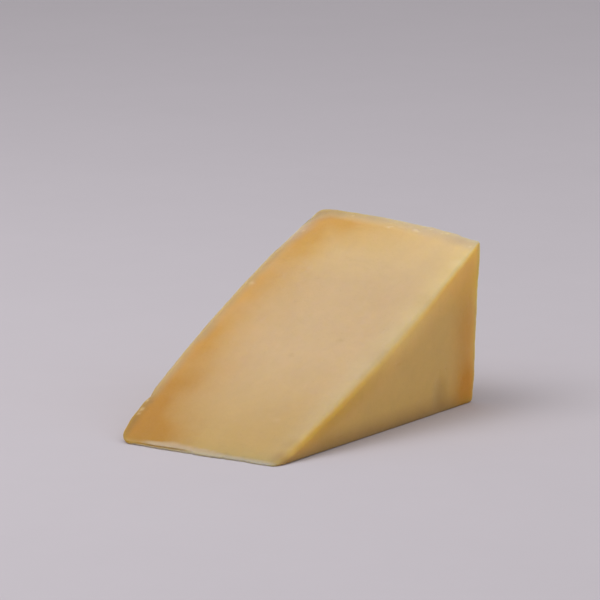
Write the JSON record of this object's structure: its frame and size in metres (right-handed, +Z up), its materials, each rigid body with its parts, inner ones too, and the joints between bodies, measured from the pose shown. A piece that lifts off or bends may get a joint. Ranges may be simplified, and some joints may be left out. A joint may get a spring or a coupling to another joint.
{
  "type": "parmesan chunk",
  "caption": "Wedge-shaped chunk of hard aged cheese lying on a cut face, with natural rind on its tall back and one end.",
  "frame": {"origin": "middle of the bounding box in plan, at the flat base the chunk lies on", "axes": "+Z up, +X from the thin tip to the tall rind, +Y across the chunk from the cut end to the rind end"},
  "size_m": [0.1156, 0.062, 0.0566],
  "materials": {
    "cheese": "waxy semi-matt straw-yellow paste, darker golden towards a pale dry natural rind"
  },
  "bodies": {
    "root": {"parmesan_chunk": "cheese"}
  },
  "joints": []
}
